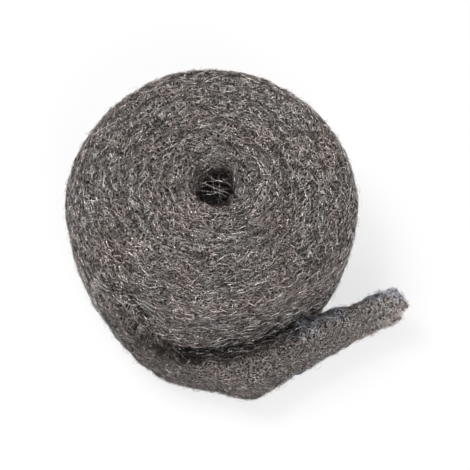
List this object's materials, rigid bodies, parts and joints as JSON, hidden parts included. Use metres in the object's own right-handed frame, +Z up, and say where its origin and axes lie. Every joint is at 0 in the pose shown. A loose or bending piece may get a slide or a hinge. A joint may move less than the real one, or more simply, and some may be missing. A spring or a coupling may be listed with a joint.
{
  "type": "steel wool roll",
  "caption": "Roll of steel wool, a soft strip wound flat round an open core, with its loose end lying along the outside, for rubbing down, cleaning and filling gaps.",
  "frame": {"origin": "middle of the footprint, on the surface that the roll stands on", "axes": "+Z up along the roll's axis, +X towards the loose end's tip, -Y towards the side where the loose end crosses the roll"},
  "size_m": [0.1866, 0.1766, 0.0845],
  "materials": {
    "steel_wool": "matte tangle of fine steel fibres"
  },
  "bodies": {
    "root": {"steel_wool_roll": "steel_wool"}
  },
  "joints": []
}
